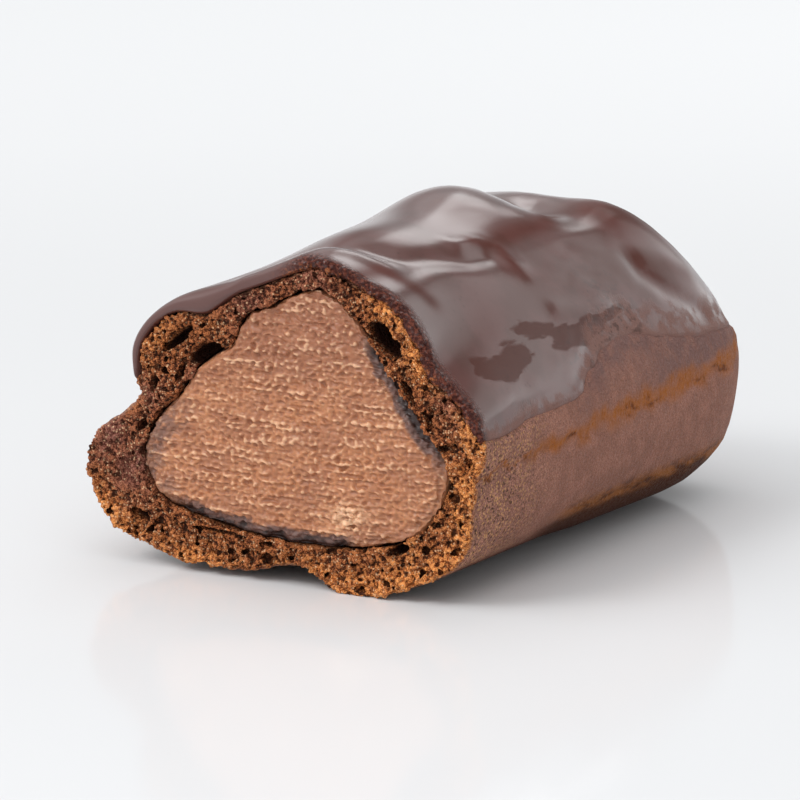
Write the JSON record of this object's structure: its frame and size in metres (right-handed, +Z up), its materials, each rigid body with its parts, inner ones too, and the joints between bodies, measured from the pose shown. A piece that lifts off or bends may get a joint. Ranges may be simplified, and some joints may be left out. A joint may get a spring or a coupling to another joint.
{
  "type": "eclair half",
  "caption": "Cut half of a chocolate eclair: baked choux shell, cocoa cream filling and a glossy chocolate glaze over the top.",
  "frame": {"origin": "centre of the bounding box's footprint, on the surface the pastry rests on", "axes": "+X towards the right side as the cut face is looked at, +Y from the cut face towards the closed round end, +Z up"},
  "size_m": [0.0458, 0.063, 0.035],
  "materials": {
    "choux_crust": "baked, matte, finely grained",
    "cocoa_cream": "satin, dragged by the knife",
    "chocolate_glaze": "glossy"
  },
  "bodies": {
    "root": {"choux_shell": "choux_crust", "cream_filling": "cocoa_cream", "chocolate_glaze": "chocolate_glaze"}
  },
  "joints": []
}
